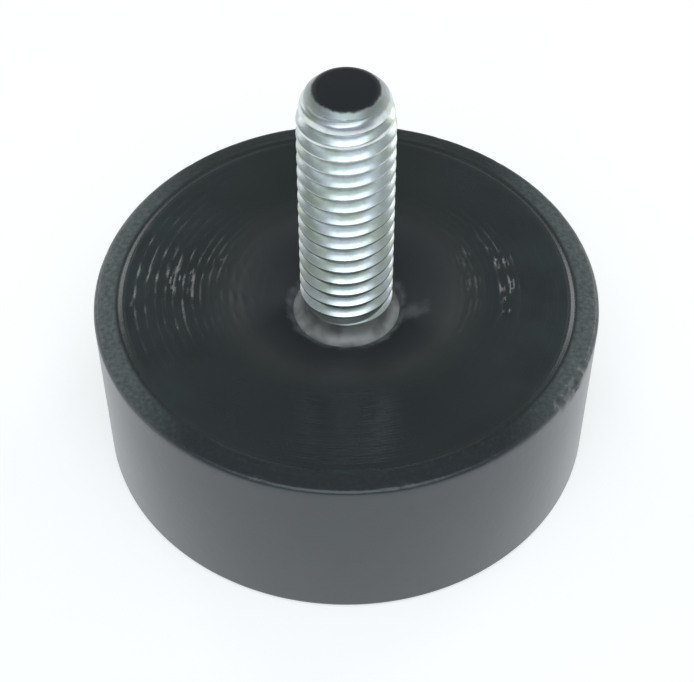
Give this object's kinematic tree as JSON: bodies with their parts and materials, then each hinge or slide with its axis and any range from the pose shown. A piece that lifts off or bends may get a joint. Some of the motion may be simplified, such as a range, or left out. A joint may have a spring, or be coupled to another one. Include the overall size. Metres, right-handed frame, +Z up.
{
  "type": "anti-vibration mount",
  "caption": "Round black rubber foot with a bonded steel plate inside and one zinc-plated threaded stud standing from its top face.",
  "frame": {"origin": "centre of the rubber body's flat underside", "axes": "+Z up the stud; X and Y are any two directions across the round foot"},
  "size_m": [0.0508, 0.0508, 0.0452],
  "materials": {
    "rubber": "moulded black rubber, satin, with turned mould marks on the top face",
    "plate_steel": "mild steel under a dark grey bonding primer",
    "zinc_steel": "bright zinc plate, dull at the swaged foot and blackened on the end face"
  },
  "bodies": {
    "root": {"rubber_body": "rubber", "backing_plate": "plate_steel", "threaded_stud": "zinc_steel"}
  },
  "joints": []
}
